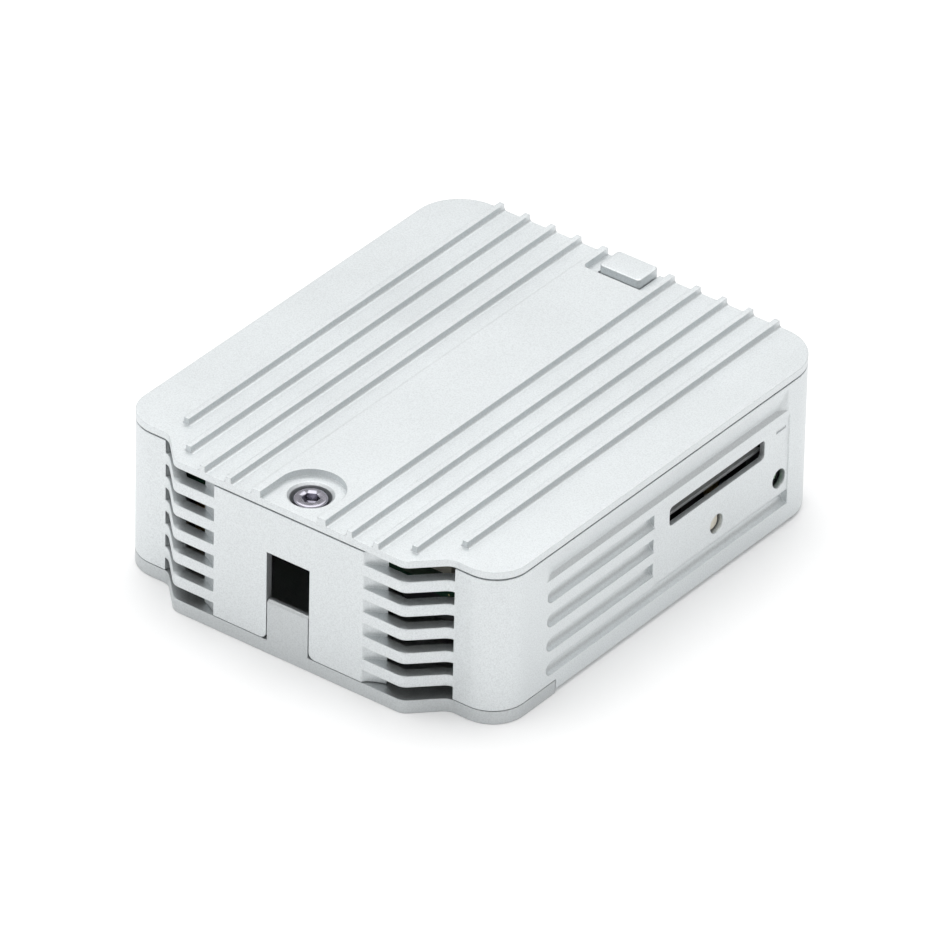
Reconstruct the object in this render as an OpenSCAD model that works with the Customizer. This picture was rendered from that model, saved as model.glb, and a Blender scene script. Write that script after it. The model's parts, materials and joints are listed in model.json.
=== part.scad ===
// Fanless single board computer in a milled aluminium case.
// The ribbed cover is the heat sink. Its pedestal presses a thermal pad onto the processor.
// Origin: middle of the footprint, on the surface that the base plate rests on.
// +Z is up, -Y is the front with the window, +Y is the rear with the ports, +X is the card slot side.

/* [Case] */
// Width across the sides
case_w = 74; // [70:0.5:90]
// Depth from the face of the front bulge to the rear face
case_d = 88.7; // [86:0.1:108]
// Height of the cover plate's top face above the base
case_h = 27.85; // [26.9:0.05:34]
// How far the front bulge stands out from the corner faces
bulge_d = 5.15; // [4:0.05:6]
// Half width of the flat face of the bulge
bulge_half_w = 22.2; // [20:0.1:24]
// Radius of the two front corners
front_r = 6; // [5:0.1:6.4]
// Radius of the two rear corners
rear_r = 8.2; // [6:0.1:9]
// Thickness of the front and rear walls
wall_t = 1.4; // [1.2:0.05:1.8]
// Thickness of the side walls
side_t = 2.4; // [2:0.05:2.9]

/* [Cover] */
// Thickness of the cover plate
cover_t = 1.25; // [1:0.05:1.6]
// Height of the shadow gap under the edge of the cover
shadow_gap = 0.3; // [0.2:0.05:0.5]
// Height of the ribs
rib_h = 1.15; // [0.8:0.05:1.6]
// Width of the flat top of a rib
rib_w = 0.95; // [0.7:0.05:1.4]
// Distance from rib to rib
rib_pitch = 5.08; // [4.8:0.02:5.2]
// Distance from the middle of the case to the first rib on each side
rib_first = 6.6; // [6.4:0.05:7]
// Radius of the fillet at the foot of a rib
rib_fillet = 0.55; // [0.3:0.05:0.7]

/* [Base] */
// Thickness of the base plate
base_t = 2.35; // [2:0.05:2.6]
// Distance from the front face to where the side walls come down to the floor
base_front_d = 19.35; // [17:0.05:22]
// Height of the base plate's front tab above the floor
tab_top = 9.85; // [8:0.05:11]
// Thickness of the tab
tab_t = 1.1; // [0.9:0.05:1.3]

/* [Louvres and window] */
// Number of louvre slots in each group
louvre_n = 6; // [4:1:6]
// Height of a louvre slot
louvre_h = 2.3; // [1.8:0.05:2.5]
// Distance from the middle of the case to the inner end of the louvres
louvre_in = 14.4; // [13:0.1:16]
// Thickness of the fins between the louvre slots, front to back
fin_t = 2.1; // [1.8:0.05:2.15]
// Length over which a louvre slot runs out on the front face
louvre_run = 3.4; // [2:0.1:5]
// Width of the front window
window_w = 8.25; // [7.5:0.05:9]
// Height of the window's upper edge above the floor
window_top = 18.45; // [17.5:0.05:18.6]

/* [Card slot side] */
// Length of the card slot
slot_l = 24.6; // [24.4:0.1:25.4]
// Height of the card slot
slot_h = 3.4; // [3:0.1:3.8]
// Distance from the front face back to the rear end of the card slot
slot_back = 72.6; // [71.3:0.05:73.3]
// Diameter of the reset hole and of the light hole
side_hole_d = 3.3; // [3:0.05:3.6]
// Height of both holes above the floor
side_hole_z = 9.6; // [9.4:0.05:10.2]
// Distance from groove to groove
groove_pitch = 4.45; // [4.2:0.05:4.5]
// Width of a groove
groove_w = 2.5; // [1.8:0.05:2.8]

/* [Screws] */
// Diameter of the cover screw's thread
screw_d = 3; // [2.5:0.5:3]
// Diameter of the cover screw's head
screw_head_d = 5.5; // [4.5:0.1:6.6]
// Length of the cover screw under its head
screw_l = 6; // [5.5:0.1:6.2]
// Distance of the cover screw behind the front face
screw_back = 5.5; // [5.4:0.05:6]

/* [Board] */
// Gap between the circuit board and each side wall
board_side_gap = 1.6; // [1.2:0.1:2.6]
// Distance of the board's front edge behind the front face
board_back = 12.95; // [12.9:0.05:14]
// Thickness of the circuit board
board_t = 1.6; // [1.2:0.1:1.6]
// Height of the board's underside above the floor
board_z = 13.8; // [13.6:0.05:13.9]
// Side of the processor package
soc_w = 19; // [15:0.5:23]

/* [Hidden] */
$fn = 48;

eps = 0.01;
slip = 0.15;             // clearance between parts that drop into each other
touch = 0.05;            // clearance between faces that rest on each other
run_r = 0.05;            // radial running clearance

// Plan of the case
x_side = case_w / 2;
y_front = -case_d / 2;
y_rear = case_d / 2;
y_corner = y_front + bulge_d;
bulge_r = 2.2;           // outer fillet of the bulge's shoulder
hollow_r = 2.6;          // inner fillet where the shoulder meets the corner face
shoulder_tan = tan(22.5);
bulge_foot = bulge_half_w + bulge_d;
corner_steps = 14;
fillet_steps = 6;
run_steps = 8;
run_power = 0.6;         // below 1, the slot's end is steep at the face and flattens inwards

// Levels
plate_z = case_h - cover_t;
wall_top = plate_z - shadow_gap;
seam = 0.1;              // joint line between the base plate and the front wall
wall_bottom = base_t + seam;
rib_top = case_h + rib_h;
board_top = board_z + board_t;
y_base = y_front + base_front_d;

// Cover
land_in = 0.8;           // how far the cover's resting land lies inside its edge
pocket_half_w = 5.5;     // half width and end radius of the pocket round the screw
key_pocket_half_w = 5.95;
key_half_w = 3.95;
key_d = 5.2;             // depth of the key's head, front to rear
key_gap_front = 1.55;    // pocket floor seen in front of the key
key_r = 0.7;
key_above = 0.35;         // how far the key stands above the ribs
side_rib_back = 8.9;     // where the outermost ribs start behind the front face
next_rib_back = 3.05;    // where the next ribs start behind the front face
rib_edge = 10;           // bare plate between the side face and the nearest rib, at least
ribs = floor((x_side - rib_edge - rib_first) / rib_pitch) + 1;
rib_turn = 3;            // ribs nearer than this to the bulge's shoulder stop short of the front
bore_d = screw_head_d + 1.1; // counterbore round the screw's head
bore_rim_d = bore_d + 0.8;
screw_y = y_front + screw_back;
head_below = 0.4;        // how far the head lies below the plate's top face
head_h = screw_d;
head_z = case_h - head_below - head_h;
hex_af = 2.5;
hex_d = 1.6;
boss_r = bore_d / 2 + 0.45;
boss_z = head_z - 1.3;   // underside of the cover's screw boss
soc_x = -4;
soc_y = y_front + 34.35;
soc_h = 1.5;
pad_t = 0.5;
pedestal_in = 0.5;       // pedestal edge inside the processor's edge
pedestal_z = board_top + soc_h + pad_t + touch;

// Housing
thread_z = window_top + 0.75;
thread_half_w = 6.2;
thread_back = 9.6;
groove_top_z = 18.65;
slot_y = y_front + slot_back - slot_l / 2;
groove_start = y_front + 16.7;
panel_start = slot_y - slot_l / 2 - 4;
light_y = y_front + 76.7;
panel_end = light_y + 2.1;
panel_top = 20.55;
panel_in = 0.2;
grip_top = case_h - 2.3;
grip_deep = case_h - 5.5;
grip_low = case_h - 6.2;
grip_in = 0.72;
grip_start = y_front + 16.5;
grip_taper = 1.8;        // length over which the grip deepens at each end
grip_end = y_front + 78;
slot_z = board_top + 1.75;
slot_wall = 1;           // wall left at the card slot
slot_r = 0.7;
recess_l = slot_l + 3.8;
recess_z = [board_z + 0.2, board_top + 4.6];
reset_y = slot_y + 0.15;
hole_wall = 1.1;
hole_pocket = 7.2;
hole_pocket_below = 3.4; // pocket floor under the holes' axis
mark_y = [3.2, 0.7];     // place of a plain sunk bar, in front of the panel's rear end
mark_z = [18.4, 18.9];
mark_d = 0.25;
foot_chamfer = 0.8;
louvre_pitch = (wall_top - wall_bottom - louvre_h + touch) / (louvre_n - 1);
louvre_back = bulge_d + fin_t;
notch_r = 1.2;
post_r = 3.1;
post_top = 11;
posts = [[-1, y_corner + 5.3], [1, y_corner + 5.3], [-1, y_rear - 6.6], [1, y_rear - 6.6]];
m3_r = 1.5;
m16_r = 0.8;
m3_csk_r = 2.9;
post_in = side_t + m3_csk_r + 0.2;   // from the side face to a post's axis, head clear of the wall
m16_csk_r = 1.5;
key_leg = 5.25;          // how far the key reaches below the cover's top face
key_screw_x = 2.2;
key_screw_z = case_h - 3.4;

// Board
board_w = case_w - 2 * (side_t + board_side_gap);
y_board_front = y_front + board_back;
y_board_rear = y_rear - wall_t - 0.35;
port_y = y_rear - wall_t - 0.25;
board_r = 4;
standoff_af = 4.6;
m25_r = 1.25;
sheet = 0.3;

// Ports: middle, width, height, depth
jack_x = -24.05;
jack_w = 16;
jack_h = 13.4;
jack_d = 21;
jack_sink = 3.4;
usb_x = [-7.55, 6.05];
usb_w = 13.2;
usb_h = 6.8;
usb_d = 12.4;
usb_back = 1.2;          // solid rear end of the port, inside the case
video_x = 17.85;
video_w = 6.6;
video_h = 3.4;
video_d = 7.6;
power_x = 27.55;
power_w = 9;
power_h = 3.3;
power_d = 7.4;

// Card socket
socket_w = slot_l + 2.8;
socket_l = 28;
socket_h = 3;
socket_x = x_side - side_t + 0.25;
rail_w = 1.4;
socket_floor = 0.5;
slider_l = 9;
slider_gap = 0.12;
contact_w = 0.8;

standoff_x = board_w / 2 - 4;
standoffs = [[-standoff_x, y_board_front + 5], [standoff_x, y_board_front + 5],
             [-standoff_x, port_y - jack_d - 6.1], [board_w / 2 - 10.5, y_board_rear - 10.2]];

// Parts on the board
power_y = soc_y + 21.6;
battery = [soc_x + 20.5, soc_y - 9];
battery_r = 10;
battery_h = 3.2;
holder_wall = 1.45;
holder_h = 5.2;
switch_d = 3.6;          // depth of the switch and of the light holder, along X
switch_w = 6;
switch_h = 6.6;
switch_x = board_w / 2 - 4.6;
plunger_r = side_hole_d / 2 - 0.3;
light_r = plunger_r;
button_in = 0.9;         // how far the plunger and the light end inside the side face

function arc(c, r, from, to, n) = [for (i = [0:n]) c + r * [cos(from + (to - from) * i / n),
                                                            sin(from + (to - from) * i / n)]];

function flip(pts) = [for (i = [len(pts) - 1:-1:0]) [-pts[i][0], pts[i][1]]];

// Right half of the plan, from the middle of the front to the middle of the rear, moved in by t.
function half_plan(t) = concat(
    arc([bulge_half_w - bulge_r * shoulder_tan, y_front + bulge_r], bulge_r - t, -90, -45, fillet_steps),
    arc([bulge_foot + hollow_r * shoulder_tan, y_corner - hollow_r], hollow_r + t, 135, 90, fillet_steps),
    arc([x_side - front_r, y_corner + front_r], front_r - t, -90, 0, corner_steps),
    arc([x_side - rear_r, y_rear - rear_r], rear_r - t, 0, 90, corner_steps));

module plan(t = 0) {
    polygon(concat(half_plan(t), flip(half_plan(t))));
}

module slab(z0, z1, t = 0) {
    translate([0, 0, z0]) linear_extrude(z1 - z0) plan(t);
}

module box(x, y, z) {
    translate([x[0], y[0], z[0]]) cube([x[1] - x[0], y[1] - y[0], z[1] - z[0]]);
}

// Block with round corners in plan.
module round_block(x, y, z, r) {
    pts = concat(arc([x[1] - r, y[0] + r], r, -90, 0, fillet_steps),
                 arc([x[1] - r, y[1] - r], r, 0, 90, fillet_steps),
                 arc([x[0] + r, y[1] - r], r, 90, 180, fillet_steps),
                 arc([x[0] + r, y[0] + r], r, 180, 270, fillet_steps));
    translate([0, 0, z[0]]) linear_extrude(z[1] - z[0]) polygon(pts);
}

module chip(x, y, w, d, h, z = board_top) {
    box([x - w / 2, x + w / 2], [y - d / 2, y + d / 2], [z, z + h]);
}

module chip_under(x, y, w, d, h) {
    chip(x, y, w, d, h, board_z - h);
}

// ---- Cover ----

module rib(x, y0, y1) {
    half = rib_w / 2;
    foot = half + rib_fillet;
    side = concat([[half, rib_h]], arc([foot, rib_fillet], rib_fillet, 180, 270, fillet_steps));
    section = concat(side, [[foot, -cover_t / 2], [-foot, -cover_t / 2]], flip(side));
    translate([x, y1, case_h]) rotate([90, 0, 0]) linear_extrude(y1 - y0) polygon(section);
}

function rib_back(x) = x > bulge_half_w ? side_rib_back : x > bulge_half_w - rib_turn ? next_rib_back : 0;

module ribs_of_one_side() {
    for (i = [0:ribs - 1]) {
        x = rib_first + i * rib_pitch;
        rib(x, y_front + rib_back(x), y_rear);
    }
}

// Screw boss, cut back where it would come near the front wall.
module boss() {
    intersection() {
        translate([0, screw_y, boss_z]) cylinder(r = boss_r, h = plate_z - boss_z + eps);
        box([-boss_r, boss_r], [y_front + wall_t + 2 * slip, screw_y + boss_r], [boss_z, plate_z + eps]);
    }
}

module pocket_round_screw() {
    translate([0, screw_y, case_h]) cylinder(r = pocket_half_w, h = 2 * rib_h);
    box([-pocket_half_w, pocket_half_w], [y_front - 1, screw_y], [case_h, case_h + 2 * rib_h]);
}

module top_cover() {
    pocket_y = y_rear - key_d - key_gap_front;
    notch = key_half_w + slip;
    ped = soc_w / 2 - pedestal_in;
    color("silver") difference() {
        union() {
            slab(plate_z, case_h);
            slab(wall_top + touch, plate_z + eps, land_in);
            ribs_of_one_side();
            mirror([1, 0, 0]) ribs_of_one_side();
            box([-rib_first, rib_first], [y_front, y_rear], [case_h - eps, rib_top]);
            boss();
            round_block([soc_x - ped, soc_x + ped], [soc_y - ped, soc_y + ped],
                        [pedestal_z, plate_z + eps], 1.5);
        }
        pocket_round_screw();
        round_block([-key_pocket_half_w, key_pocket_half_w], [pocket_y, y_rear + 4],
                    [case_h, rib_top + 1], 1);
        box([-notch, notch], [y_rear - key_d - slip, y_rear + 1], [wall_top - 1, case_h + eps]);
        translate([0, screw_y, head_z - eps]) cylinder(d = bore_d, h = head_h + 1);
        translate([0, screw_y, case_h - (bore_rim_d - bore_d) / 2])
            cylinder(d1 = bore_d, d2 = bore_rim_d + 0.04, h = (bore_rim_d - bore_d) / 2 + 0.02);
        translate([0, screw_y, boss_z - 1]) cylinder(r = screw_d / 2 + 0.3, h = 6);
    }
}

module cover_screw() {
    color("gray") translate([0, screw_y, head_z]) difference() {
        union() {
            cylinder(d = screw_head_d, h = head_h);
            translate([0, 0, -screw_l]) cylinder(d = screw_d, h = screw_l + eps);
        }
        translate([0, 0, head_h - hex_d]) cylinder(d = hex_af / cos(30), h = hex_d + 1, $fn = 6);
    }
}

// ---- Rear key: locates the rear of the cover ----

module rear_key() {
    leg_z = case_h - key_leg;
    difference() {
        color("silver") union() {
            round_block([-key_half_w, key_half_w], [y_rear - key_d, y_rear], [wall_top, rib_top + key_above],
                        key_r);
            box([-key_half_w, key_half_w], [y_rear - key_d, y_rear - wall_t], [leg_z, wall_top + eps]);
        }
        for (s = [-1, 1]) key_hole(s, m16_r, y_rear - key_d + 1.2);
    }
}

module key_hole(s, r, y0) {
    translate([s * key_screw_x, y_rear + 1, key_screw_z]) rotate([90, 0, 0])
        cylinder(r = r, h = y_rear + 1 - y0);
}

module key_screws() {
    depth = m16_csk_r - m16_r;
    color("gray") for (s = [-1, 1])
        translate([s * key_screw_x, y_rear - touch, key_screw_z]) rotate([90, 0, 0]) difference() {
            union() {
                cylinder(r1 = m16_csk_r - 2 * touch, r2 = m16_r - 2 * touch, h = depth);
                cylinder(r = m16_r - run_r, h = 3.4);
            }
            translate([0, 0, -eps]) cylinder(r = m16_r * 0.75, h = depth * 0.8, $fn = 6);
        }
}

// ---- Housing ----

module inside_outline() {
    intersection() {
        plan(wall_t);
        square([case_w - 2 * side_t, 2 * case_d], center = true);
    }
}

// Curved inner end of a louvre slot, from the back of the fins to the front face.
function run_out() = [for (i = [0:run_steps]) let (u = 1 - i / run_steps)
    [louvre_in + louvre_run * u, y_front + fin_t * pow(u, run_power)]];

// Thicker wall behind the shoulder, which the slots divide into fins.
module fin_block() {
    translate([0, 0, wall_bottom]) linear_extrude(wall_top - wall_bottom) difference() {
        intersection() {
            plan();
            translate([louvre_in - 2, y_front]) square([bulge_foot + 2.2 - louvre_in + 2, louvre_back]);
        }
        plan(fin_t);
    }
}

module louvre(z, z_end) {
    intersection() {
        box([louvre_in - 1, bulge_foot + 0.6], [y_front - 1, y_front + louvre_back + 2], [z, z_end]);
        translate([0, 0, z - 1]) linear_extrude(louvre_h + 3)
            polygon(concat([[bulge_foot + 0.6, y_front - 1], [bulge_foot + 0.6, y_corner + 0.2],
                            [bulge_foot - 1.2, y_front + louvre_back + 2],
                            [louvre_in + louvre_run, y_front + louvre_back + 2]],
                           run_out(), [[louvre_in, y_front - 1]]));
    }
}

module louvres() {
    for (i = [0:louvre_n - 1]) {
        z = wall_bottom + i * louvre_pitch - (i == 0 ? 1 : 0);
        z_end = wall_bottom + i * louvre_pitch + louvre_h + (i == louvre_n - 1 ? 1 : 0);
        louvre(z, z_end);
    }
}

module front_window() {
    half = window_w / 2;
    y = [y_front - 1, y_front + wall_t + 1];
    box([-half, half], y, [-1, window_top]);
    translate([0, y[1], wall_bottom]) rotate([90, 0, 0]) linear_extrude(y[1] - y[0]) difference() {
        translate([-half - notch_r, -1]) square([2 * (half + notch_r), 1 + notch_r]);
        for (s = [-1, 1]) translate([s * (half + notch_r), notch_r]) circle(r = notch_r);
    }
}

// Groove along the side face, round in section and at its front end.
module groove(z, y0, y1) {
    r = groove_w / 2;
    translate([x_side, y0, z]) rotate([-90, 0, 0]) rotate_extrude()
        polygon(concat(arc([0, r], r, -90, 0, 4), [[r, y1 - y0], [0, y1 - y0]]));
}

// Shallow finger grip under the cover's edge, running out at both ends.
module grip() {
    intersection() {
        translate([0, grip_end, 0]) rotate([90, 0, 0]) linear_extrude(grip_end - grip_start)
            polygon([[x_side + 1, grip_top], [x_side, grip_top], [x_side - grip_in, grip_deep],
                     [x_side, grip_low], [x_side + 1, grip_low]]);
        translate([0, 0, grip_low - 1]) linear_extrude(grip_top - grip_low + 2)
            polygon([[x_side + 1, grip_start], [x_side, grip_start],
                     [x_side - grip_in, grip_start + grip_taper], [x_side - grip_in, grip_end - grip_taper],
                     [x_side, grip_end], [x_side + 1, grip_end]]);
    }
}

module side_pattern(short_end) {
    grip();
    for (i = [0:2]) groove(groove_top_z - i * groove_pitch, groove_start, short_end);
    groove(groove_top_z - 3 * groove_pitch, groove_start, panel_end);
}

module card_side() {
    box([x_side - panel_in, x_side + 1], [panel_start, panel_end],
        [groove_top_z - 3 * groove_pitch, panel_top]);
    round_block_x([slot_y - slot_l / 2, slot_y + slot_l / 2], [slot_z - slot_h / 2, slot_z + slot_h / 2],
                  slot_r);
    box([x_side - side_t - 1, x_side - slot_wall - panel_in],
        [slot_y - recess_l / 2, slot_y + recess_l / 2], recess_z);
    for (y = [reset_y, light_y]) {
        translate([x_side - side_t - 1, y, side_hole_z]) rotate([0, 90, 0])
            cylinder(d = side_hole_d, h = side_t + 2);
        box([x_side - side_t - 1, x_side - hole_wall - panel_in], [y - hole_pocket / 2, y + hole_pocket / 2],
            [side_hole_z - hole_pocket_below, board_z - 0.2]);
    }
    box([x_side - panel_in - mark_d, x_side + 1], [panel_end - mark_y[0], panel_end - mark_y[1]], mark_z);
}

// Opening through the right wall with round corners, seen along X.
module round_block_x(y, z, r) {
    translate([x_side - side_t - 1, 0, 0]) rotate([90, 0, 90]) linear_extrude(side_t + 2)
        polygon(concat(arc([y[1] - r, z[0] + r], r, -90, 0, 4), arc([y[1] - r, z[1] - r], r, 0, 90, 4),
                       arc([y[0] + r, z[1] - r], r, 90, 180, 4), arc([y[0] + r, z[0] + r], r, 180, 270, 4)));
}

module rear_opening(x, w, z0, z1) {
    gap = 0.35;
    corner = 2.5;        // reach into the thicker wall of the rounded corners
    box([x - w / 2 - gap, x + w / 2 + gap], [y_rear - wall_t - corner, y_rear + 1], [z0 - gap, z1 + gap]);
}

module rear_openings() {
    rear_opening(jack_x, jack_w, board_top - jack_sink, board_top - jack_sink + jack_h);
    rear_opening((usb_x[0] + usb_x[1]) / 2, usb_x[1] - usb_x[0] + usb_w, board_top, board_top + usb_h);
    rear_opening(video_x, video_w, board_top, board_top + video_h);
    rear_opening(power_x, power_w, board_top, board_top + power_h);
}

// Chamfer along the bottom edge of the side and rear walls.
module foot_edge() {
    c = foot_chamfer;
    for (s = [-1, 1]) {
        translate([s * x_side, 0, 0]) rotate([0, 45, 0])
            cube([c * sqrt(2), 2 * (y_rear - rear_r), c * sqrt(2)], center = true);
        translate([s * (x_side - rear_r), y_rear - rear_r, -eps]) intersection() {
            difference() {
                cylinder(r = rear_r + 2, h = c);
                translate([0, 0, -eps]) cylinder(r1 = rear_r - c, r2 = rear_r + eps, h = c + 2 * eps);
            }
            translate([s > 0 ? 0 : -20, 0, -1]) cube([20, 20, 4]);
        }
    }
    translate([0, y_rear, 0]) rotate([45, 0, 0])
        cube([2 * (x_side - rear_r), c * sqrt(2), c * sqrt(2)], center = true);
}

module screw_posts() {
    for (p = posts) {
        x = p[0] * (x_side - post_in);
        translate([x, p[1], base_t]) cylinder(r = post_r, h = post_top - base_t);
        box(p[0] > 0 ? [x, x_side - side_t + eps] : [-x_side + side_t - eps, x], [p[1] - 1.2, p[1] + 1.2],
            [base_t, post_top]);
    }
}

module housing() {
    color("silver") difference() {
        union() {
            difference() {
                union() {
                    slab(wall_bottom, wall_top);
                    intersection() {
                        slab(0, wall_bottom + eps);
                        box([-x_side, x_side], [y_base, y_rear], [-1, wall_bottom + 1]);
                    }
                }
                translate([0, 0, -1]) linear_extrude(case_h + 2) inside_outline();
            }
            box([-thread_half_w, thread_half_w], [y_front + wall_t - eps, y_front + thread_back],
                [thread_z, boss_z - slip]);
            screw_posts();
            fin_block();
            mirror([1, 0, 0]) fin_block();
        }
        louvres();
        mirror([1, 0, 0]) louvres();
        front_window();
        side_pattern(panel_start);
        mirror([1, 0, 0]) side_pattern(panel_end);
        card_side();
        rear_openings();
        foot_edge();
        translate([0, screw_y, thread_z - 1]) cylinder(r = screw_d / 2 + run_r, h = 8);
        for (p = posts) translate([p[0] * (x_side - post_in), p[1], -1]) cylinder(r = m3_r, h = post_top - 1);
        for (s = [-1, 1]) {
            key_hole(s, m16_r + 0.1, y_rear - wall_t - 1);
            translate([s * key_screw_x, y_rear + eps, key_screw_z]) rotate([90, 0, 0])
                cylinder(r1 = m16_csk_r, r2 = m16_r, h = m16_csk_r - m16_r);
        }
    }
}

// ---- Base plate ----

module csk_hole(x, y, r, csk_r) {
    translate([x, y, -1]) cylinder(r = r, h = base_t + 2);
    translate([x, y, -eps]) cylinder(r1 = csk_r, r2 = r, h = csk_r - r);
}

module base_plate() {
    half_tab = window_w / 2 - slip;
    cut = 0.4;
    color("darkgray") difference() {
        union() {
            intersection() {
                slab(0, base_t);
                box([-x_side, x_side], [y_front, y_base - slip], [-1, base_t + 1]);
            }
            linear_extrude(base_t) intersection() {
                plan(wall_t + slip);
                square([case_w - 2 * (side_t + slip), 2 * case_d], center = true);
            }
            translate([half_tab, 0, 0]) rotate([0, -90, 0]) linear_extrude(2 * half_tab)
                polygon([[base_t - eps, y_front], [tab_top - cut, y_front], [tab_top, y_front + cut],
                         [tab_top, y_front + tab_t], [base_t - eps, y_front + tab_t]]);
        }
        for (p = posts) csk_hole(p[0] * (x_side - post_in), p[1], m3_r + 0.1, m3_csk_r);
        for (p = standoffs) csk_hole(p[0], p[1], m25_r + 0.1, m25_r + 1.1);
    }
}

// Countersunk screw with its head flush below and its tip up.
module csk_screw(x, y, r, csk_r, l) {
    translate([x, y, touch]) difference() {
        union() {
            cylinder(r1 = csk_r - 2 * touch, r2 = r, h = csk_r - 2 * touch - r);
            cylinder(r = r, h = l);
        }
        translate([0, 0, -eps]) cylinder(r = r * 0.75, h = 0.9, $fn = 6);
    }
}

module base_screws() {
    color("gray") for (p = posts) csk_screw(p[0] * (x_side - post_in), p[1], m3_r - run_r, m3_csk_r, 8);
}

module standoff_screws() {
    color("gray") for (p = standoffs) csk_screw(p[0], p[1], m25_r - run_r, m25_r + 1.1, 6);
}

module board_standoffs() {
    color("goldenrod") for (p = standoffs) translate([p[0], p[1], base_t]) difference() {
        cylinder(d = standoff_af / cos(30), h = board_z - base_t, $fn = 6);
        translate([0, 0, -1]) cylinder(r = m25_r, h = board_z);
    }
}

module board_screws() {
    color("gray") for (p = standoffs) translate([p[0], p[1], board_top]) difference() {
        union() {
            cylinder(r = 2.25, h = 1.5);
            translate([0, 0, -5]) cylinder(r = m25_r - run_r, h = 5 + eps);
        }
        translate([0, 0, 0.6]) cylinder(r = 0.85, h = 1, $fn = 6);
    }
}

// ---- Board and its parts ----

module main_board() {
    gap = 0.2;
    color("darkgreen") difference() {
        round_block([-board_w / 2, board_w / 2], [y_board_front, y_board_rear], [board_z, board_top],
                    board_r);
        box([-board_w / 2 - 1, jack_x + jack_w / 2 + gap], [port_y - jack_d, y_board_rear + 1],
            [board_z - 1, board_top + 1]);
        for (p = standoffs) translate([p[0], p[1], board_z - 1]) cylinder(r = m25_r + 0.1, h = board_t + 2);
    }
}

module processor() {
    color("dimgray") {
        chip(soc_x, soc_y, soc_w, soc_w, 0.8);
        chip(soc_x, soc_y, soc_w - 3, soc_w - 3, soc_h - 0.8 + eps, board_top + 0.8 - eps);
    }
}

module thermal_pad() {
    w = soc_w - 4;
    color("lightblue") chip(soc_x, soc_y, w, w, pad_t, board_top + soc_h);
}

module memory_chips() {
    color("black") for (y = [soc_y - 8, soc_y + 8]) chip(soc_x - 19, y, 8, 13, 1);
}

module flash_chip() {
    color("black") chip(soc_x + 21, soc_y, 11.5, 13, 1);
}

module power_chip() {
    color("black") chip(soc_x - 10, power_y, 6, 6, 0.85);
}

module power_coils() {
    half = 2.2;
    color("dimgray") for (x = [-18, -2, 5])
        round_block([soc_x + x - half, soc_x + x + half], [power_y - half, power_y + half],
                    [board_top, board_top + 2.1], 0.8);
}

module bulk_capacitors() {
    color("silver") for (x = [-16, -9, -2])
        translate([soc_x + x, power_y + 6, board_top]) cylinder(d = 5, h = 5.4);
}

module chip_passives() {
    color("tan") {
        for (i = [-4:4]) {
            chip(soc_x + 1.9 * i, soc_y - soc_w / 2 - 1.4, 1, 0.5, 0.35);
            chip(soc_x + 1.9 * i, soc_y + soc_w / 2 + 1.4, 1, 0.5, 0.35);
        }
        for (i = [-5:5]) chip_under(soc_x + 2.2 * i, soc_y, 0.8, 1.6, 0.8);
    }
}

module crystals() {
    color("silver") {
        chip(soc_x + soc_w / 2 + 2.5, soc_y - 10, 3.2, 2.5, 0.8);
        chip(jack_x + 14, port_y - usb_d - 3.1, 3.2, 2.5, 0.8);
    }
}

module network_chip() {
    color("black") chip_under(jack_x + 14, port_y - 19.1, 7, 7, 0.85);
}

module pulse_transformer() {
    color("black") chip_under(jack_x + jack_w / 2 + 7.5, port_y - 9.1, 12, 7, 2.1);
}

module serial_header() {
    x = soc_x + 18;
    y = y_board_front + 6;
    color("ivory") difference() {
        chip(x, y, 10, 5.6, 5.8);
        chip(x, y - 0.2, 8.6, 3.6, 6, board_top + 1.6);
    }
}

module infrared_receiver() {
    y = y_board_front;
    z = board_z + 0.4;
    d = 2.8;
    color("black") {
        box([-3, 3], [y - d, y], [z - 3.5, z + 3.5]);
        translate([0, y - d, z + 0.5]) sphere(r = 2.4);
    }
}

module battery_holder() {
    color("black") translate([battery[0], battery[1], board_z - holder_h]) difference() {
        cylinder(r = battery_r + slip + holder_wall, h = holder_h);
        translate([0, 0, -1]) cylinder(r = battery_r + slip, h = battery_h + 1 + slip);
    }
}

module clock_battery() {
    color("silver") translate([battery[0], battery[1], board_z - holder_h + slip])
        cylinder(r = battery_r, h = battery_h);
}

// ---- Ports ----

module network_jack() {
    z = board_top - jack_sink;
    half = jack_w / 2;
    color("silver") difference() {
        box([jack_x - half, jack_x + half], [port_y - jack_d, port_y], [z, z + jack_h]);
        box([jack_x - 5.95, jack_x + 5.95], [port_y - 12.5, port_y + 1], [z + 2.4, z + 9.6]);
        box([jack_x - 3.2, jack_x + 3.2], [port_y - 12.5, port_y + 1], [z + 0.9, z + 2.5]);
    }
}

module jack_contacts() {
    z = board_top - jack_sink + 9.6;
    pitch = 1.02;
    color("gold") for (i = [-3.5:3.5]) box([jack_x + i * pitch - 0.2, jack_x + i * pitch + 0.2],
                                           [port_y - 11.5, port_y - 3], [z - 1.1, z - 0.1]);
}

// Sheet metal shell of a port, open at the rear face.
module port_shell(x, w, h, d, back) {
    z = board_top;
    difference() {
        box([x - w / 2, x + w / 2], [port_y - d, port_y], [z, z + h]);
        box([x - w / 2 + sheet, x + w / 2 - sheet], [port_y - d + back, port_y + 1],
            [z + sheet, z + h - sheet]);
    }
}

module usb_shells() {
    color("silver") for (x = usb_x) port_shell(x, usb_w, usb_h, usb_d, usb_back);
}

module usb_tongues() {
    z = board_top + usb_h / 2 + 0.3;
    half = 5.6;
    color("royalblue") for (x = usb_x)
        box([x - half, x + half], [port_y - usb_d + usb_back, port_y - 2.2], [z, z + 1.8]);
}

module video_port() {
    color("silver") port_shell(video_x, video_w, video_h, video_d, 1);
}

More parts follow.
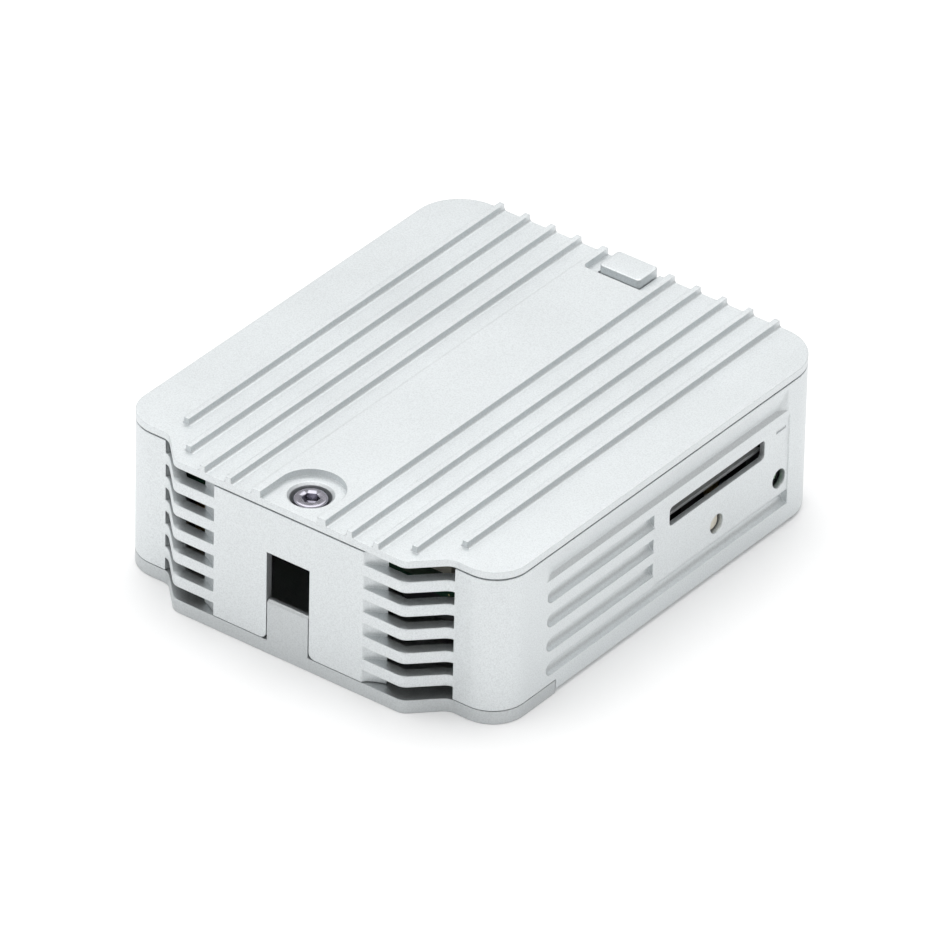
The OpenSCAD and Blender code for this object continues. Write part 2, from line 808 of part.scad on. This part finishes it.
module video_tongue() {
    z = board_top + video_h / 2 - 0.3;
    half = video_w / 2 - 1.2;
    color("black") box([video_x - half, video_x + half], [port_y - video_d + 1, port_y - 0.8], [z, z + 0.6]);
}

// Round ended outline of the power port, seen along Y.
module pill(w, h, r) {
    polygon(concat(arc([w / 2 - r, -h / 2 + r], r, -90, 0, fillet_steps),
                   arc([w / 2 - r, h / 2 - r], r, 0, 90, fillet_steps),
                   arc([-w / 2 + r, h / 2 - r], r, 90, 180, fillet_steps),
                   arc([-w / 2 + r, -h / 2 + r], r, 180, 270, fillet_steps)));
}

module power_port() {
    z = board_top + power_h / 2;
    color("silver") translate([power_x, port_y, z]) rotate([90, 0, 0]) difference() {
        linear_extrude(power_d) pill(power_w, power_h, 1.6);
        translate([0, 0, -1]) linear_extrude(power_d) pill(power_w - 2 * sheet, power_h - 2 * sheet, 1.3);
    }
}

module power_tongue() {
    z = board_top + power_h / 2;
    half = [power_w / 2 - 1.2, 0.35];
    color("black") box([power_x - half[0], power_x + half[0]], [port_y - power_d + 1, port_y - 0.7],
                       [z - half[1], z + half[1]]);
}

// ---- Card socket ----

module card_socket() {
    y0 = slot_y - socket_w / 2;
    y1 = slot_y + socket_w / 2;
    x0 = socket_x - socket_l;
    top = board_top + socket_h - sheet;
    color("black") {
        box([x0, socket_x], [y0, y1], [board_top, board_top + socket_floor]);
        for (y = [[y0, y0 + rail_w], [y1 - rail_w, y1]])
            box([x0, socket_x - 0.6], y, [board_top + socket_floor - eps, top]);
        box([x0, x0 + 2.6], [y0 + rail_w - eps, y1 - rail_w + eps], [board_top + socket_floor - eps, top]);
    }
}

module card_socket_shell() {
    y0 = slot_y - socket_w / 2;
    y1 = slot_y + socket_w / 2;
    x0 = socket_x - socket_l;
    top = board_top + socket_h;
    color("silver") {
        box([x0, socket_x - 0.6], [y0 - sheet, y1 + sheet], [top - sheet, top]);
        for (y = [y0 - sheet, y1]) box([x0, socket_x - 0.6], [y, y + sheet], [board_top, top - sheet + eps]);
    }
}

module card_contacts() {
    x0 = socket_x - socket_l + 2.6;
    color("gold") for (i = [0:8])
        chip(x0 + 2.5, slot_y - 11 + 2.4 * i, 5, contact_w, 0.35, board_top + socket_floor);
}

module card_slider() {
    y1 = slot_y + socket_w / 2 - rail_w - slider_gap;
    z = board_top + socket_floor + 0.1;
    x0 = socket_x - socket_l + 6;
    color("ivory") {
        box([x0, x0 + slider_l], [y1 - 1, y1], [z, board_top + socket_h - sheet - 0.1]);
        box([x0, x0 + 1.6], [y1 - 3.2, y1 - 1 + eps], [z, z + 1.2]);
    }
}

// ---- Reset button and status light, under the edge of the board ----

module reset_switch() {
    color("black") difference() {
        box([switch_x, switch_x + switch_d], [reset_y - switch_w / 2, reset_y + switch_w / 2],
            [board_z - switch_h, board_z]);
        translate([switch_x + switch_d / 2, reset_y, side_hole_z]) rotate([0, 90, 0])
            cylinder(r = plunger_r + run_r, h = switch_d);
    }
}

module reset_plunger() {
    press = 0.25;
    x = switch_x + switch_d / 2 + press + slip;
    color("ivory") translate([x, reset_y, side_hole_z]) rotate([0, 90, 0])
        cylinder(r = plunger_r, h = x_side - panel_in - button_in - x);
}

module light_holder() {
    color("black") difference() {
        box([switch_x, switch_x + switch_d], [light_y - 2.2, light_y + 2.2],
            [board_z - switch_h + 0.4, board_z]);
        translate([switch_x + 0.8, light_y, side_hole_z]) rotate([0, 90, 0])
            cylinder(r = light_r + run_r, h = switch_d + 1);
    }
}

module status_light() {
    x = switch_x + 0.85;
    l = x_side - panel_in - button_in - light_r - x;
    color("lightgreen") translate([x, light_y, side_hole_z]) rotate([0, 90, 0]) {
        cylinder(r = light_r, h = l);
        translate([0, 0, l]) sphere(r = light_r);
    }
}

top_cover();
housing();
base_plate();
rear_key();
key_screws();
cover_screw();
base_screws();
board_standoffs();
standoff_screws();
board_screws();
main_board();
processor();
thermal_pad();
memory_chips();
flash_chip();
power_chip();
power_coils();
bulk_capacitors();
chip_passives();
crystals();
network_chip();
pulse_transformer();
network_jack();
jack_contacts();
usb_shells();
usb_tongues();
video_port();
video_tongue();
power_port();
power_tongue();
card_socket();
card_socket_shell();
card_contacts();
card_slider();
reset_switch();
reset_plunger();
status_light();
light_holder();
infrared_receiver();
clock_battery();
battery_holder();
serial_header();
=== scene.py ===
"""Looks of the fanless single board computer: an anodised aluminium case with its board inside."""

import json
import math

import bmesh
import bpy
from mathutils import Matrix, Vector


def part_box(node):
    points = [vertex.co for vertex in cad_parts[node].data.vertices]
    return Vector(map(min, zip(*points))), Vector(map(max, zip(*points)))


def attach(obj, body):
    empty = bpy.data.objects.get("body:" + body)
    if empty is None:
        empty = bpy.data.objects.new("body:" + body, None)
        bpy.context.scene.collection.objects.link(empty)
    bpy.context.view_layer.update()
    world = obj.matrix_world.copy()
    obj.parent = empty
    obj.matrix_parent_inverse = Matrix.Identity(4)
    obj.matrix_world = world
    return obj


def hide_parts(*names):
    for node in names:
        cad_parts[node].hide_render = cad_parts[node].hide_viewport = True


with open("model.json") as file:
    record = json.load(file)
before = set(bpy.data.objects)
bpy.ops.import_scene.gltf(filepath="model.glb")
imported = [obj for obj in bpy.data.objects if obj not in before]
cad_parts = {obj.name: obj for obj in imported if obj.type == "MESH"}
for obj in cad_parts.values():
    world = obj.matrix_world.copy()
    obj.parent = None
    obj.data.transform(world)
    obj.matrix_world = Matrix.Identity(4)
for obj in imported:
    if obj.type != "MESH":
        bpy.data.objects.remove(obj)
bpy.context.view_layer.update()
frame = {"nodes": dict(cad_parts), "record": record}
nodes = frame["nodes"]
MM = 0.001
CAD_SHARP = 26            # degrees; sharper corners of the CAD pieces stay sharp in shading
EDGE_ANGLE = 32           # degrees; sharper corners are rounded
EDGE_SEGMENTS = 2
WELD_GAP = 0.000002
FLOOR_HALF = 3.0
FLOOR_DROP = 0.00002      # keeps the floor clear of the base


# ---- Materials ----


class Nodes:
    """A material's node tree, with short calls for the nodes that are used here."""

    def __init__(self, name):
        self.mat = bpy.data.materials.new(name)
        self.mat.use_nodes = True
        self.tree = self.mat.node_tree
        self.shader = self.tree.nodes["Principled BSDF"]
        self.coord = self.tree.nodes.new("ShaderNodeTexCoord").outputs["Object"]

    def set(self, **values):
        for key, value in values.items():
            self.shader.inputs[key.replace("_", " ")].default_value = value

    def link(self, a, b):
        self.tree.links.new(a, b)

    def noise(self, scale, detail=4.0, rough=0.6, vector=None):
        n = self.tree.nodes.new("ShaderNodeTexNoise")
        n.inputs["Scale"].default_value = scale
        n.inputs["Detail"].default_value = detail
        n.inputs["Roughness"].default_value = rough
        self.link(vector or self.coord, n.inputs["Vector"])
        return n.outputs["Fac"]

    def grains(self, scale):
        n = self.tree.nodes.new("ShaderNodeTexVoronoi")
        n.inputs["Scale"].default_value = scale
        self.link(self.coord, n.inputs["Vector"])
        return n.outputs["Distance"]

    def stretched(self, scale):
        n = self.tree.nodes.new("ShaderNodeMapping")
        n.inputs["Scale"].default_value = scale
        self.link(self.coord, n.inputs["Vector"])
        return n.outputs["Vector"]

    def ramp(self, fac, stops):
        n = self.tree.nodes.new("ShaderNodeValToRGB")
        while len(n.color_ramp.elements) < len(stops):
            n.color_ramp.elements.new(0.5)
        for e, (pos, colour) in zip(n.color_ramp.elements, stops):
            e.position = pos
            e.color = (*colour, 1)
        self.link(fac, n.inputs["Fac"])
        return n.outputs["Color"]

    def span(self, value, lo, hi, from_lo=0.0, from_hi=1.0):
        n = self.tree.nodes.new("ShaderNodeMapRange")
        for key, v in (("From Min", from_lo), ("From Max", from_hi), ("To Min", lo), ("To Max", hi)):
            n.inputs[key].default_value = v
        self.link(value, n.inputs["Value"])
        return n.outputs["Result"]

    def bump(self, height, strength, distance, below=None):
        n = self.tree.nodes.new("ShaderNodeBump")
        n.inputs["Strength"].default_value = strength
        n.inputs["Distance"].default_value = distance
        self.link(height, n.inputs["Height"])
        if below:
            self.link(below, n.inputs["Normal"])
        return n.outputs["Normal"]

    def use(self, colour=None, rough=None, normal=None):
        for socket, name in ((colour, "Base Color"), (rough, "Roughness"), (normal, "Normal")):
            if socket:
                self.link(socket, self.shader.inputs[name])
        return self.mat


def shade(colour, k):
    return tuple(c * k for c in colour)


def blasted_aluminium(name, colour, rough, grain=0.42, edge=0):
    """Bead blasted and anodised: a fine even grain with a faint cloud of tone.

    edge rounds the corners in shading.
    """
    m = Nodes(name)
    m.set(Metallic=0.82)
    cloud = m.noise(38, 5)
    fine = m.noise(4300, 3, 0.75)
    rounded = None
    if edge:
        n = m.tree.nodes.new("ShaderNodeBevel")
        n.samples = 6
        n.inputs["Radius"].default_value = edge
        rounded = n.outputs["Normal"]
    tone = m.ramp(cloud, [(0.25, shade(colour, 0.965)), (0.75, shade(colour, 1.025))])
    speck = m.tree.nodes.new("ShaderNodeMix")
    speck.data_type = "RGBA"
    speck.blend_type = "MULTIPLY"
    speck.inputs[0].default_value = 1.0
    m.link(tone, speck.inputs[6])
    m.link(m.ramp(fine, [(0.32, (0.86,) * 3), (0.5, (0.985,) * 3), (0.68, (1.06,) * 3)]), speck.inputs[7])
    normal = m.bump(fine, grain, 0.00007, m.bump(m.noise(900, 3), 0.12, 0.00008, rounded))
    return m.use(speck.outputs[2], m.span(cloud, rough - 0.03, rough + 0.04), normal)


def metal(name, colour, rough, scratch=0.1, metallic=1.0):
    """Turned, drawn or plated metal with fine drawn marks."""
    m = Nodes(name)
    m.set(Metallic=metallic)
    marks = m.noise(900, 4, 0.7, m.stretched((1, 1, 6)))
    tone = m.ramp(m.noise(260, 4), [(0.3, shade(colour, 0.9)), (0.7, colour)])
    return m.use(tone, m.span(marks, rough - 0.06, rough + 0.10), m.bump(marks, scratch, 0.00003))


def plastic(name, colour, rough, grain=0.25, scale=2600):
    """Moulded plastic or epoxy with a spark eroded texture."""
    m = Nodes(name)
    fine = m.noise(scale, 3)
    tone = m.ramp(m.noise(180, 4), [(0.3, shade(colour, 0.88)), (0.7, shade(colour, 1.08))])
    return m.use(tone, m.span(fine, rough - 0.05, rough + 0.08), m.bump(fine, grain, 0.00004))


def clear(name, colour, rough, transmission):
    m = Nodes(name)
    m.set(Transmission_Weight=transmission, IOR=1.5)
    cloud = m.noise(500, 3)
    tone = m.ramp(cloud, [(0.3, shade(colour, 0.9)), (0.7, colour)])
    return m.use(tone, m.span(cloud, rough, rough + 0.05), m.bump(cloud, 0.05, 0.00002))


def solder_mask(name):
    """Green mask over copper: straight tracks, plated vias and a woven glass ripple."""
    m = Nodes(name)
    m.set(Coat_Weight=0.35, Coat_Roughness=0.15)
    brick = m.tree.nodes.new("ShaderNodeTexBrick")
    for key, v in (("Scale", 520.0), ("Mortar Size", 0.035), ("Brick Width", 3.4), ("Row Height", 0.42)):
        brick.inputs[key].default_value = v
    brick.inputs["Color1"].default_value = (1, 1, 1, 1)
    brick.inputs["Color2"].default_value = (0.85, 0.85, 0.85, 1)
    brick.inputs["Mortar"].default_value = (0, 0, 0, 1)
    m.link(m.coord, brick.inputs["Vector"])
    tracks = m.ramp(brick.outputs["Color"], [(0.0, (0.004, 0.030, 0.014)), (0.6, (0.008, 0.055, 0.026))])
    vias = m.ramp(m.grains(430), [(0.06, (0.75, 0.6, 0.3)), (0.09, (0.0, 0.0, 0.0))])
    mixed = m.tree.nodes.new("ShaderNodeMix")
    mixed.data_type = "RGBA"
    mixed.blend_type = "ADD"
    mixed.inputs[0].default_value = 0.8
    m.link(tracks, mixed.inputs[6])
    m.link(vias, mixed.inputs[7])
    weave = m.noise(1500, 2)
    return m.use(mixed.outputs[2], m.span(weave, 0.28, 0.4), m.bump(weave, 0.2, 0.00003))


CASE = (0.715, 0.745, 0.755)
looks = {
    "case_aluminium": blasted_aluminium("case_aluminium", CASE, 0.44),
    "base_aluminium": blasted_aluminium("base_aluminium", shade(CASE, 0.80), 0.40, 0.6),
    "screw_steel": metal("screw_steel", (0.40, 0.39, 0.44), 0.22),
    "small_steel": metal("small_steel", (0.55, 0.55, 0.56), 0.33),
    "brass_post": metal("brass_post", (0.78, 0.60, 0.28), 0.30),
    "circuit_board": solder_mask("circuit_board"),
    "chip_black": plastic("chip_black", (0.022, 0.022, 0.025), 0.42, 0.3, 3600),
    "thermal_pad": plastic("thermal_pad", (0.30, 0.48, 0.60), 0.75, 0.5, 1800),
    "coil_grey": plastic("coil_grey", (0.11, 0.11, 0.115), 0.55, 0.6, 3000),
    "capacitor_can": metal("capacitor_can", (0.78, 0.78, 0.79), 0.28),
    "ceramic_tan": plastic("ceramic_tan", (0.50, 0.35, 0.20), 0.40),
    "crystal_can": metal("crystal_can", (0.75, 0.75, 0.76), 0.18),
    "port_shell": metal("port_shell", (0.72, 0.72, 0.73), 0.24),
    "contact_gold": metal("contact_gold", (0.90, 0.66, 0.24), 0.20),
    "tongue_blue": plastic("tongue_blue", (0.02, 0.09, 0.42), 0.45),
    "plastic_black": plastic("plastic_black", (0.022, 0.022, 0.024), 0.48),
    "plastic_grey": plastic("plastic_grey", (0.50, 0.51, 0.51), 0.50),
    "plastic_ivory": plastic("plastic_ivory", (0.78, 0.75, 0.64), 0.46),
    "light_green": clear("light_green", (0.50, 0.90, 0.55), 0.12, 0.7),
    "infrared_black": clear("infrared_black", (0.035, 0.012, 0.02), 0.15, 0.3),
    "battery_steel": metal("battery_steel", (0.70, 0.70, 0.71), 0.26),
}

slot_of = {s["node"]: s["material_slot"] for s in frame["record"]["subparts"]}


def crease(obj, angle):
    """Smooth shading that stays sharp over angle."""
    mesh = obj.data
    if "custom_normal" in mesh.attributes:
        mesh.attributes.remove(mesh.attributes["custom_normal"])
    mesh.polygons.foreach_set("use_smooth", [True] * len(mesh.polygons))
    mesh.set_sharp_from_angle(angle=math.radians(angle))


def keep_within_box(obj):
    """Stops the rounded edges from standing proud of the piece's own box."""
    points = [v.co for v in obj.data.vertices]
    lo, hi = ([pick(p[i] for p in points) for i in range(3)] for pick in (min, max))
    tree = bpy.data.node_groups.new("within_box", "GeometryNodeTree")
    for way in ("INPUT", "OUTPUT"):
        tree.interface.new_socket("Geometry", in_out=way, socket_type="NodeSocketGeometry")
    start, end = tree.nodes.new("NodeGroupInput"), tree.nodes.new("NodeGroupOutput")
    move = tree.nodes.new("GeometryNodeSetPosition")
    place = tree.nodes.new("GeometryNodeInputPosition").outputs[0]
    for operation, limit in (("MAXIMUM", lo), ("MINIMUM", hi)):
        n = tree.nodes.new("ShaderNodeVectorMath")
        n.operation = operation
        n.inputs[1].default_value = limit
        tree.links.new(place, n.inputs[0])
        place = n.outputs[0]
    tree.links.new(start.outputs[0], move.inputs["Geometry"])
    tree.links.new(place, move.inputs["Position"])
    tree.links.new(move.outputs[0], end.inputs[0])
    obj.modifiers.new("within_box", "NODES").node_group = tree


def soften(obj, width):
    """Rounds the edges a little, as tumbling and blasting leave them, and keeps the flat faces flat."""
    weld = obj.modifiers.new("weld", "WELD")
    weld.merge_threshold = WELD_GAP
    bevel = obj.modifiers.new("edges", "BEVEL")
    bevel.width = width
    bevel.segments = EDGE_SEGMENTS
    bevel.limit_method = "ANGLE"
    bevel.angle_limit = math.radians(EDGE_ANGLE)
    bevel.use_clamp_overlap = False
    bevel.loop_slide = False
    keep_within_box(obj)
    smooth = obj.modifiers.new("shading", "WEIGHTED_NORMAL")
    smooth.weight = 100
    smooth.keep_sharp = False


for name, obj in nodes.items():
    obj.data.materials.clear()
    obj.data.materials.append(looks[slot_of[name]])
    crease(obj, CAD_SHARP)

for name, width in (("housing", 0.00012), ("base_plate", 0.00012), ("rear_key", 0.0002)):
    soften(nodes[name], width)
nodes["top_cover"].data.materials[0] = blasted_aluminium("cover_aluminium", CASE, 0.44, edge=0.00016)


# ---- Detailed pieces ----


def new_piece(name, bm, look, body, node=None, angle=35):
    """Makes a piece from a bmesh, shades it, and rides it on a body.

    With node it stands for that CAD node.
    """
    bmesh.ops.recalc_face_normals(bm, faces=bm.faces)
    mesh = bpy.data.meshes.new(name)
    bm.to_mesh(mesh)
    bm.free()
    mesh.materials.append(looks[look])
    obj = bpy.data.objects.new(name, mesh)
    bpy.context.scene.collection.objects.link(obj)
    crease(obj, angle)
    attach(obj, body)
    if node:
        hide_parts(node)
    return obj


def hexagon(theta, across):
    """Distance from the axis to a hexagon across flats, in direction theta."""
    t = (theta + math.pi / 6) % (math.pi / 3) - math.pi / 6
    return across / 2 / math.cos(t)


def lathe(bm, origin, rings, n):
    """Skins rings of n points. A ring is (radius or function of angle, height); the ends are closed."""
    last = None
    for radius, height in rings:
        loop = []
        for i in range(n):
            t = 2 * math.pi * i / n
            r = radius(t) if callable(radius) else radius
            loop.append(bm.verts.new(origin + Vector((r * math.cos(t), r * math.sin(t), height))))
        if last:
            for i in range(n):
                bm.faces.new((last[i], last[(i + 1) % n], loop[(i + 1) % n], loop[i]))
        else:
            bm.faces.new(loop)
        last = loop
    bm.faces.new(last)


def socket_screw(name, node, body):
    """Socket head cap screw: knurled head with a rounded rim, hexagon socket, and thread crests below."""
    lo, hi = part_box(node)
    axis = Vector(((lo.x + hi.x) / 2, (lo.y + hi.y) / 2, 0))
    head_r, top = (hi.x - lo.x) / 2, hi.z
    seat, thread_r, hexa = top - 3 * MM, 1.5 * MM, 2.5 * MM
    pitch, thread_depth, lead_in = 0.5 * MM, 0.26 * MM, 0.45 * MM
    knurl_depth, knurl_teeth, rim = 0.07 * MM, 24, 0.42 * MM

    def knurl(theta):
        return head_r - knurl_depth * (1 - abs(math.cos(theta * knurl_teeth)))

    rings = [(1.0 * MM, lo.z), (thread_r, lo.z + lead_in)]
    z = lo.z + lead_in
    while z < seat - 0.8 * MM:
        rings += [(thread_r - thread_depth, z + pitch / 2), (thread_r, z + pitch)]
        z += pitch
    rings += [(thread_r - 0.1 * MM, seat), (head_r - 0.15 * MM, seat), (knurl, seat + 0.2 * MM),
              (knurl, top - 0.55 * MM), (head_r, top - rim)]
    for i in range(5):
        a = math.radians(18 * (i + 1))
        rings.append((head_r - rim * (1 - math.cos(a)), top - rim * (1 - math.sin(a))))
    rings += [(1.62 * MM, top), (lambda t: hexagon(t, hexa) + 0.02 * MM, top - 0.16 * MM),
              (lambda t: hexagon(t, hexa), top - 1.5 * MM), (0.08 * MM, top - 2.0 * MM)]
    bm = bmesh.new()
    lathe(bm, axis, rings, 96)
    return new_piece(name, bm, "screw_steel", body, node, 30)


def block(bm, lo, hi, edge=0.0):
    """Box from lo to hi, with bevelled edges."""
    made = bmesh.ops.create_cube(bm, size=1.0)["verts"]
    mid, size = (Vector(lo) + Vector(hi)) / 2, Vector(hi) - Vector(lo)
    for v in made:
        v.co = mid + Vector(a * b for a, b in zip(v.co, size))
    if edge:
        edges = list({e for v in made for e in v.link_edges})
        bmesh.ops.bevel(bm, geom=edges, offset=edge, segments=2, affect="EDGES")


def islands(node):
    """The boxes of a CAD node's separate solids."""
    bm = bmesh.new()
    bm.from_mesh(nodes[node].data)
    bmesh.ops.remove_doubles(bm, verts=bm.verts, dist=1e-6)
    left, found = set(bm.verts), []
    while left:
        stack, group = [left.pop()], []
        while stack:
            v = stack.pop()
            group.append(v.co.copy())
            for e in v.link_edges:
                o = e.other_vert(v)
                if o in left:
                    left.remove(o)
                    stack.append(o)
        found.append((Vector(map(min, *group)), Vector(map(max, *group))))
    bm.free()
    return sorted(found, key=lambda b: tuple(b[0]))


def capacitors():
    """Aluminium cans with a crimped foot, a rolled rim and a vent cross pressed into the top."""
    bm = bmesh.new()
    for lo, hi in islands("bulk_capacitors"):
        r, h = (hi.x - lo.x) / 2, hi.z - lo.z
        foot = Vector(((lo.x + hi.x) / 2, (lo.y + hi.y) / 2, lo.z))
        rings = [(r, 0), (r, 0.16 * h), (r - 0.22 * MM, 0.2 * h), (r - 0.22 * MM, 0.25 * h), (r, 0.3 * h),
                 (r, h - 0.3 * MM), (r - 0.1 * MM, h - 0.08 * MM), (r - 0.3 * MM, h),
                 (r - 0.5 * MM, h - 0.1 * MM), (0.1 * MM, h - 0.1 * MM)]
        lathe(bm, foot, rings, 40)
        for wide, deep in ((1.5 * MM, 0.12 * MM), (0.12 * MM, 1.5 * MM)):
            lo_corner, hi_corner = Vector((-wide, -deep, h - 0.11 * MM)), Vector((wide, deep, h - 0.03 * MM))
            block(bm, foot + lo_corner, foot + hi_corner)
    return new_piece("capacitor_cans", bm, "capacitor_can", "case", "bulk_capacitors", 40)


def leads(name, node, count):
    """Gull wing leads along both long sides of a chip."""
    lo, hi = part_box(node)
    bm = bmesh.new()
    pitch = (hi.y - lo.y) / count
    steps = ((0, 0.42, 0.42, 0.56), (0.30, 0.44, 0.06, 0.5), (0.34, 0.85, 0.0, 0.13))
    for i in range(count):
        y = lo.y + pitch * (i + 0.5)
        for x, s in ((lo.x, -1), (hi.x, 1)):
            half, z = 0.17 * MM, lo.z
            for x0, x1, z0, z1 in steps:
                a, b = sorted((x + s * x0 * MM, x + s * x1 * MM))
                block(bm, (a, y - half, z + z0 * MM), (b, y + half, z + z1 * MM))
    return new_piece(name, bm, "port_shell", "case")


def header_pins():
    """Square gold pins with tapered tips in the serial header."""
    lo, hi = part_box("serial_header")
    bm = bmesh.new()
    for i in range(4):
        x = (lo.x + hi.x) / 2 + (i - 1.5) * 2.0 * MM
        y, half = (lo.y + hi.y) / 2, 0.25 * MM
        block(bm, (x - half, y - half, lo.z + 1.5 * MM), (x + half, y + half, hi.z - 0.5 * MM), 0.06 * MM)
    return new_piece("header_pins", bm, "contact_gold", "case")


def jack_details():
    """Two light windows over the mouth of the network jack."""
    lo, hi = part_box("network_jack")
    half = 1.5 * MM
    bm = bmesh.new()
    for s in (-1, 1):
        x = (lo.x + hi.x) / 2 + s * 5.6 * MM
        block(bm, (x - half, hi.y - 0.6 * MM, hi.z - 3.0 * MM), (x + half, hi.y + 0.12 * MM, hi.z - 1.2 * MM),
              0.1 * MM)
    return new_piece("jack_lights", bm, "light_green", "case")


def usb_details():
    """Gold contacts on the tongues of the USB ports, and the springs pressed into their shells."""
    bm = bmesh.new()
    half = 0.45 * MM
    for lo, hi in islands("usb_tongues"):
        y0, y1, z0, z1 = lo.y + 0.5 * MM, hi.y - 0.7 * MM, lo.z - 0.09 * MM, lo.z + 0.02 * MM
        for i in range(4):
            x = (lo.x + hi.x) / 2 + (i - 1.5) * 2.3 * MM
            block(bm, (x - half, y0, z0), (x + half, y1, z1))
    new_piece("usb_contacts", bm, "contact_gold", "case")
    bm = bmesh.new()
    half, near, far = 1.0 * MM, 0.26 * MM, 0.55 * MM
    for lo, hi in islands("usb_shells"):
        y0, y1 = hi.y - 7.5 * MM, hi.y - 1.6 * MM
        for s in (-1, 1):
            x = (lo.x + hi.x) / 2 + s * 3.1 * MM
            for z0, z1 in ((hi.z - far, hi.z - near), (lo.z + near, lo.z + far)):
                block(bm, (x - half, y0, z0), (x + half, y1, z1), 0.1 * MM)
    new_piece("usb_springs", bm, "port_shell", "case")


socket_screw("cover_screw_detailed", "cover_screw", "cover_screw")
capacitors()
leads("flash_leads", "flash_chip", 8)
header_pins()
jack_details()
usb_details()


# ---- Floor, light and camera ----


def matte(name, colour, rough):
    """Plain paper that glows very faintly, so that it stays white under soft light."""
    m = Nodes(name)
    cloud = m.noise(6, 3)
    m.set(Emission_Color=(1, 1, 1, 1), Emission_Strength=0.05)
    tone = m.ramp(cloud, [(0.3, shade(colour, 0.995)), (0.7, colour)])
    return m.use(tone, m.span(cloud, rough, rough + 0.05))


def make_floor():
    corners = [(x * FLOOR_HALF, y * FLOOR_HALF, 0) for x, y in ((-1, -1), (1, -1), (1, 1), (-1, 1))]
    mesh = bpy.data.meshes.new("floor")
    mesh.from_pydata(corners, [], [(0, 1, 2, 3)])
    floor = bpy.data.objects.new("floor", mesh)
    bpy.context.scene.collection.objects.link(floor)
    floor.location.z = -FLOOR_DROP
    mesh.materials.append(matte("floor_paper", (0.93, 0.93, 0.93), 0.9))


def area_light(name, place, target, size, power):
    light = bpy.data.lights.new(name, "AREA")
    light.shape = "RECTANGLE"
    light.size, light.size_y = size
    light.energy = power
    obj = bpy.data.objects.new(name, light)
    bpy.context.scene.collection.objects.link(obj)
    obj.location = place
    obj.rotation_euler = (Vector(target) - Vector(place)).to_track_quat("-Z", "Y").to_euler()


def make_world(strength):
    world = bpy.data.worlds.new("studio")
    world.use_nodes = True
    back = world.node_tree.nodes["Background"]
    back.inputs["Color"].default_value = (1.0, 1.0, 1.0, 1)
    back.inputs["Strength"].default_value = strength
    bpy.context.scene.world = world


def make_camera():
    """Camera at the photograph's angle, solved from the straight edges of the case."""
    az, el, roll = (math.radians(v) for v in (36.758, 33.433, -1.289))
    back = Vector((math.sin(az) * math.cos(el), -math.cos(az) * math.cos(el), math.sin(el)))
    right = Vector((math.cos(az), math.sin(az), 0))
    up = back.cross(right)
    axes = (right * math.cos(roll) - up * math.sin(roll), right * math.sin(roll) + up * math.cos(roll), back)
    distance, side, rise = 1.85564, 0.002245, -0.011258
    centre = axes[0] * side + axes[1] * rise + axes[2] * distance + Vector((0, -0.00315, 0.02785))
    cam = bpy.data.cameras.new("camera")
    cam.lens, cam.sensor_width = 462.95, 36
    cam.clip_start, cam.clip_end = 0.01, 20
    obj = bpy.data.objects.new("camera", cam)
    bpy.context.scene.collection.objects.link(obj)
    turn = Matrix(axes).transposed().to_4x4()
    obj.matrix_world = Matrix.Translation(centre) @ turn
    bpy.context.scene.camera = obj


make_floor()
make_world(0.52)
area_light("overhead", (-0.15, 0.1, 1.1), (0, 0, 0), (1.5, 1.5), 14.5)
area_light("front_left", (-0.9, -0.9, 0.45), (0, 0, 0.02), (0.9, 0.7), 1.1)
make_camera()
bpy.context.scene.view_settings.view_transform = "Standard"
